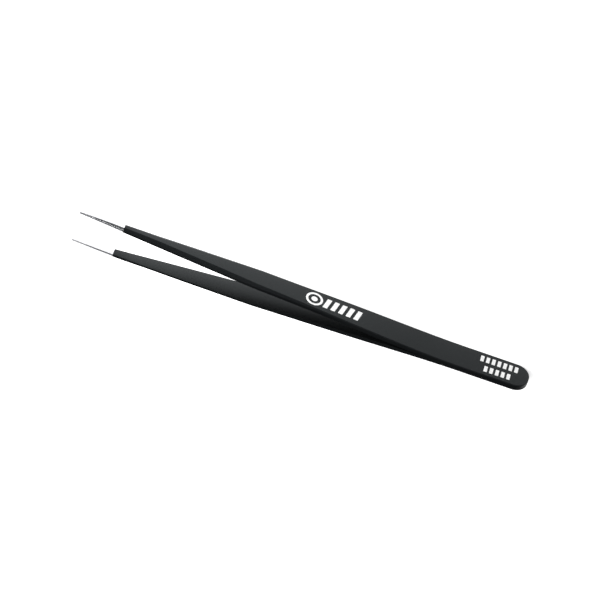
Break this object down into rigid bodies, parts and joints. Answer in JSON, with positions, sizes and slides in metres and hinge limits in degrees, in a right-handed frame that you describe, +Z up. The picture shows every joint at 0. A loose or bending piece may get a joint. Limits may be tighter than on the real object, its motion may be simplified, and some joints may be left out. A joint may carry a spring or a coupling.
{
  "type": "precision tweezers",
  "caption": "Straight fine-point tweezers with a satin black coated body, bare polished steel points and sprung arms that close until the points meet.",
  "frame": {"origin": "middle of the overall box, on the plane in which the points meet", "axes": "+X from the points towards the butt, +Y the way the marked arm opens, +Z up, across the width, with the tweezers lying on the edges of their leaves"},
  "size_m": [0.14, 0.0122, 0.0094],
  "materials": {
    "steel": "stainless steel, points ground and polished",
    "weld": "fused weld metal",
    "coating": "satin black epoxy coating, fine texture",
    "ink": "white pad-printed ink"
  },
  "bodies": {
    "heel": {"marked_leaf_heel": "steel", "plain_leaf_heel": "steel", "weld_nuggets": "weld", "heel_coating": "coating", "heel_print": "ink"},
    "marked_arm": {"marked_leaf_arm": "steel", "marked_arm_coating": "coating", "arm_print_ring": "ink", "arm_print_bars": "ink"},
    "plain_arm": {"plain_leaf_arm": "steel", "plain_arm_coating": "coating"}
  },
  "joints": [
    {"name": "marked_arm_flex", "type": "hinge", "parent": "heel", "child": "marked_arm", "pos_m": [0.036, 0.00015, 0], "axis": [0, 0, 1], "range_deg": [0, 2.82], "stiffness_Nm_per_rad": 1.5},
    {"name": "plain_arm_flex", "type": "hinge", "parent": "heel", "child": "plain_arm", "pos_m": [0.036, -0.00015, 0], "axis": [0, 0, -1], "range_deg": [0, 2.82], "stiffness_Nm_per_rad": 1.5}
  ]
}
